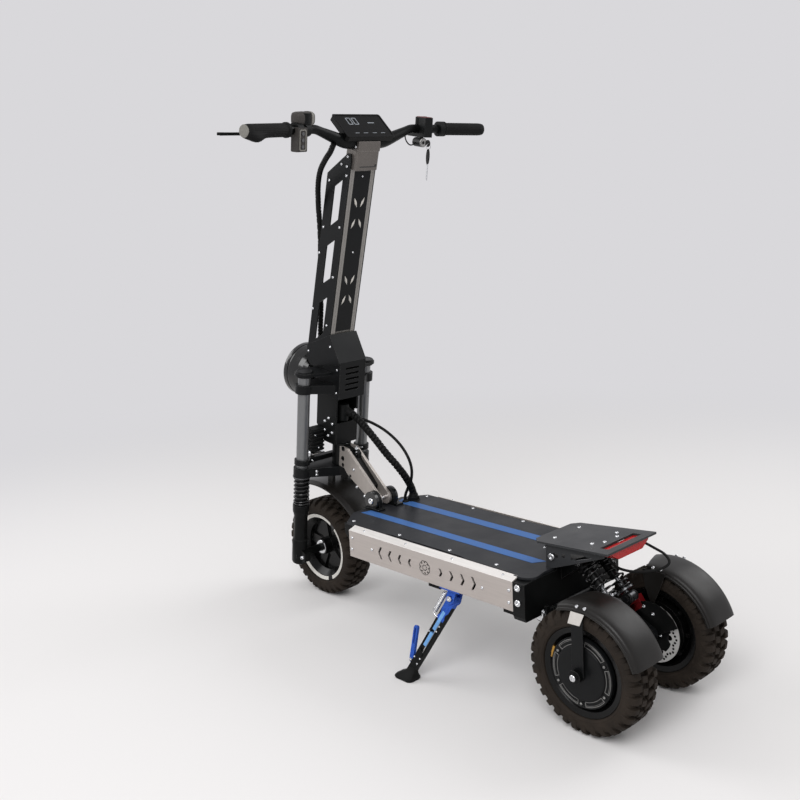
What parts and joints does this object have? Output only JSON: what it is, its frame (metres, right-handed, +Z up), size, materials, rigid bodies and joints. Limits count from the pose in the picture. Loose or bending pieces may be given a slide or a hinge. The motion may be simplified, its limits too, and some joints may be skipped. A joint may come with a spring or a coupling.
{
  "type": "three-wheeled electric stand-up scooter",
  "caption": "Stand-up electric scooter with a telescopic front fork, a folding neck, a tall column with a display, a flat deck and paired driven rear wheels on a sprung swingarm.",
  "frame": {"origin": "on the ground, in the middle of the bounding box", "axes": "+X forward, +Y to the rider's left, +Z up"},
  "size_m": [1.3324, 0.8336, 1.3439],
  "materials": {
    "satin_black": "satin",
    "grip_plate": "fine textured",
    "silver_panel": "satin anodised",
    "battery_wrap": "matte",
    "black_metal": "satin",
    "bright_steel": "bright",
    "red_lens": "gloss",
    "cable_black": "matte",
    "stanchion_grey": "satin",
    "gloss_black": "gloss",
    "clear_lens": "clear",
    "column_grey": "satin anodised",
    "bar_black": "semi gloss",
    "grip_rubber": "matte",
    "display_black": "gloss",
    "control_plastic": "matte",
    "fender_plastic": "satin",
    "spring_black": "satin",
    "tyre_rubber": "matte",
    "rim_black": "satin",
    "caliper_red": "gloss",
    "motor_black": "satin",
    "disc_steel": "brushed",
    "lever_black": "satin",
    "button_grey": "matte",
    "button_red": "matte",
    "key_steel": "brushed",
    "stand_black": "satin"
  },
  "bodies": {
    "deck": {"deck_tray": "satin_black", "deck_top": "grip_plate", "side_panels": "silver_panel", "battery_pack": "battery_wrap", "rear_frame": "black_metal", "pivot_pins": "bright_steel", "rear_carrier": "satin_black", "tail_light": "red_lens", "tail_light_cable": "cable_black", "neck_bracket": "black_metal", "kickstand_bracket": "bright_steel", "front_harness": "cable_black"},
    "neck": {"neck_plates": "silver_panel", "neck_core": "black_metal", "headset_bearings": "bright_steel"},
    "steering": {"fork_crowns": "black_metal", "fork_tubes": "stanchion_grey", "head_box": "satin_black", "hood": "satin_black", "headlight_shell": "gloss_black", "headlight_lens": "clear_lens", "column_rails": "column_grey", "column_cover": "satin_black", "column_side_plates": "satin_black", "bar_clamp": "column_grey", "handlebar": "bar_black", "grip_left": "grip_rubber", "display": "display_black", "control_housings": "control_plastic", "key_lock": "control_plastic", "front_fender": "fender_plastic", "bar_cables": "cable_black", "fork_springs": "spring_black"},
    "fork_lower": {"fork_lowers": "black_metal", "front_axle": "bright_steel"},
    "front_wheel": {"front_tyre": "tyre_rubber", "front_rim": "rim_black"},
    "arm": {"swingarm": "black_metal", "rear_axles": "bright_steel", "rear_fenders": "fender_plastic", "calipers": "caliper_red"},
    "rear_wheel_left": {"rear_tyre_left": "tyre_rubber", "motor_left": "motor_black", "brake_disc_left": "disc_steel"},
    "rear_wheel_right": {"rear_tyre_right": "tyre_rubber", "motor_right": "motor_black", "brake_disc_right": "disc_steel"},
    "shock_top": {"shock_bodies": "black_metal"},
    "shock_foot": {"shock_rods": "bright_steel", "shock_springs": "spring_black"},
    "lever_left": {"brake_lever_left": "lever_black"},
    "lever_right": {"brake_lever_right": "lever_black"},
    "throttle": {"throttle_grip": "grip_rubber"},
    "horn": {"horn_button": "button_grey"},
    "light": {"light_button": "button_grey"},
    "turn": {"turn_button": "button_grey"},
    "mode": {"mode_button": "button_red"},
    "lock_key": {"key": "key_steel"},
    "hanging_key": {"spare_key": "key_steel"},
    "stand": {"kickstand_leg": "stand_black"}
  },
  "joints": [
    {"name": "fold", "type": "hinge", "parent": "deck", "child": "neck", "pos_m": [0.28718, 0, 0.327], "axis": [0, -1, 0], "range_deg": [0, 80], "deforming": ["front_harness"]},
    {"name": "steer", "type": "hinge", "parent": "neck", "child": "steering", "pos_m": [0.4467, 0, 0.43254], "axis": [-0.1495, 0, 0.9888], "range_deg": [-40, 40], "deforming": ["front_harness"]},
    {"name": "fork_slide", "type": "slide", "parent": "steering", "child": "fork_lower", "axis": [-0.1495, 0, 0.9888], "range_m": [0, 0.045], "stiffness_N_per_m": 20000, "springref_m": -0.015, "deforming": ["fork_springs"]},
    {"name": "front_wheel_spin", "type": "hinge", "parent": "fork_lower", "child": "front_wheel", "pos_m": [0.52517, 0, 0.141], "axis": [0, 1, 0], "continuous": true},
    {"name": "arm_swing", "type": "hinge", "parent": "deck", "child": "arm", "pos_m": [-0.35082, 0, 0.205], "axis": [0, 1, 0], "range_deg": [0, 8], "stiffness_Nm_per_rad": 1000, "springref_deg": -6.88, "deforming": ["shock_springs"]},
    {"name": "rear_wheel_left_spin", "type": "hinge", "parent": "arm", "child": "rear_wheel_left", "pos_m": [-0.51582, 0.14, 0.141], "axis": [0, 1, 0], "continuous": true},
    {"name": "rear_wheel_right_spin", "type": "hinge", "parent": "arm", "child": "rear_wheel_right", "pos_m": [-0.51582, -0.14, 0.141], "axis": [0, 1, 0], "continuous": true},
    {"name": "shock_top_turn", "type": "hinge", "parent": "deck", "child": "shock_top", "pos_m": [-0.41082, 0, 0.322], "axis": [0, 1, 0], "range_deg": [0, 7], "deforming": ["shock_springs"]},
    {"name": "shock_foot_turn", "type": "hinge", "parent": "arm", "child": "shock_foot", "pos_m": [-0.49583, 0, 0.24], "axis": [0, 1, 0], "range_deg": [-4, 0], "deforming": ["shock_springs"]},
    {"name": "brake_left", "type": "hinge", "parent": "steering", "child": "lever_left", "pos_m": [0.31515, 0.20568, 1.29759], "axis": [-0.1495, 0, 0.9888], "range_deg": [0, 12], "stiffness_Nm_per_rad": 4, "springref_deg": -4.58},
    {"name": "brake_right", "type": "hinge", "parent": "steering", "child": "lever_right", "pos_m": [0.31515, -0.20568, 1.29759], "axis": [0.1495, 0, -0.9888], "range_deg": [0, 12], "stiffness_Nm_per_rad": 4, "springref_deg": -4.58},
    {"name": "throttle_twist", "type": "hinge", "parent": "steering", "child": "throttle", "pos_m": [0.24796, -0.31587, 1.29956], "axis": [0.1717, 0.9848, 0.026], "range_deg": [0, 60], "stiffness_Nm_per_rad": 0.3, "springref_deg": -5.73},
    {"name": "horn_press", "type": "slide", "parent": "steering", "child": "horn", "axis": [0.9737, 0.1736, 0.1473], "range_m": [0, 0.002], "stiffness_N_per_m": 400, "springref_m": -0.001},
    {"name": "light_press", "type": "slide", "parent": "steering", "child": "light", "axis": [0.9737, 0.1736, 0.1473], "range_m": [0, 0.002], "stiffness_N_per_m": 400, "springref_m": -0.001},
    {"name": "turn_press", "type": "slide", "parent": "steering", "child": "turn", "axis": [0.9737, 0.1736, 0.1473], "range_m": [0, 0.002], "stiffness_N_per_m": 400, "springref_m": -0.001},
    {"name": "mode_press", "type": "slide", "parent": "steering", "child": "mode", "axis": [0.1495, 0, -0.9888], "range_m": [0, 0.002], "stiffness_N_per_m": 400, "springref_m": -0.001},
    {"name": "key_turn", "type": "hinge", "parent": "steering", "child": "lock_key", "pos_m": [0.27502, -0.18982, 1.26927], "axis": [0.9737, -0.1736, 0.1473], "range_deg": [0, 90]},
    {"name": "spare_key_swing", "type": "hinge", "parent": "lock_key", "child": "hanging_key", "pos_m": [0.22743, -0.18131, 1.26126], "axis": [0.9737, -0.1736, 0.1473], "range_deg": [-20, 20]},
    {"name": "stand_swing", "type": "hinge", "parent": "deck", "child": "stand", "pos_m": [-0.13082, 0.16, 0.196], "axis": [0, 0.9143, 0.4051], "range_deg": [0, 100]}
  ],
  "couplings": [
    {"joint": "shock_top_turn", "follows": "arm_swing", "ratio": 0.70925},
    {"joint": "shock_foot_turn", "follows": "arm_swing", "ratio": -0.29075}
  ]
}
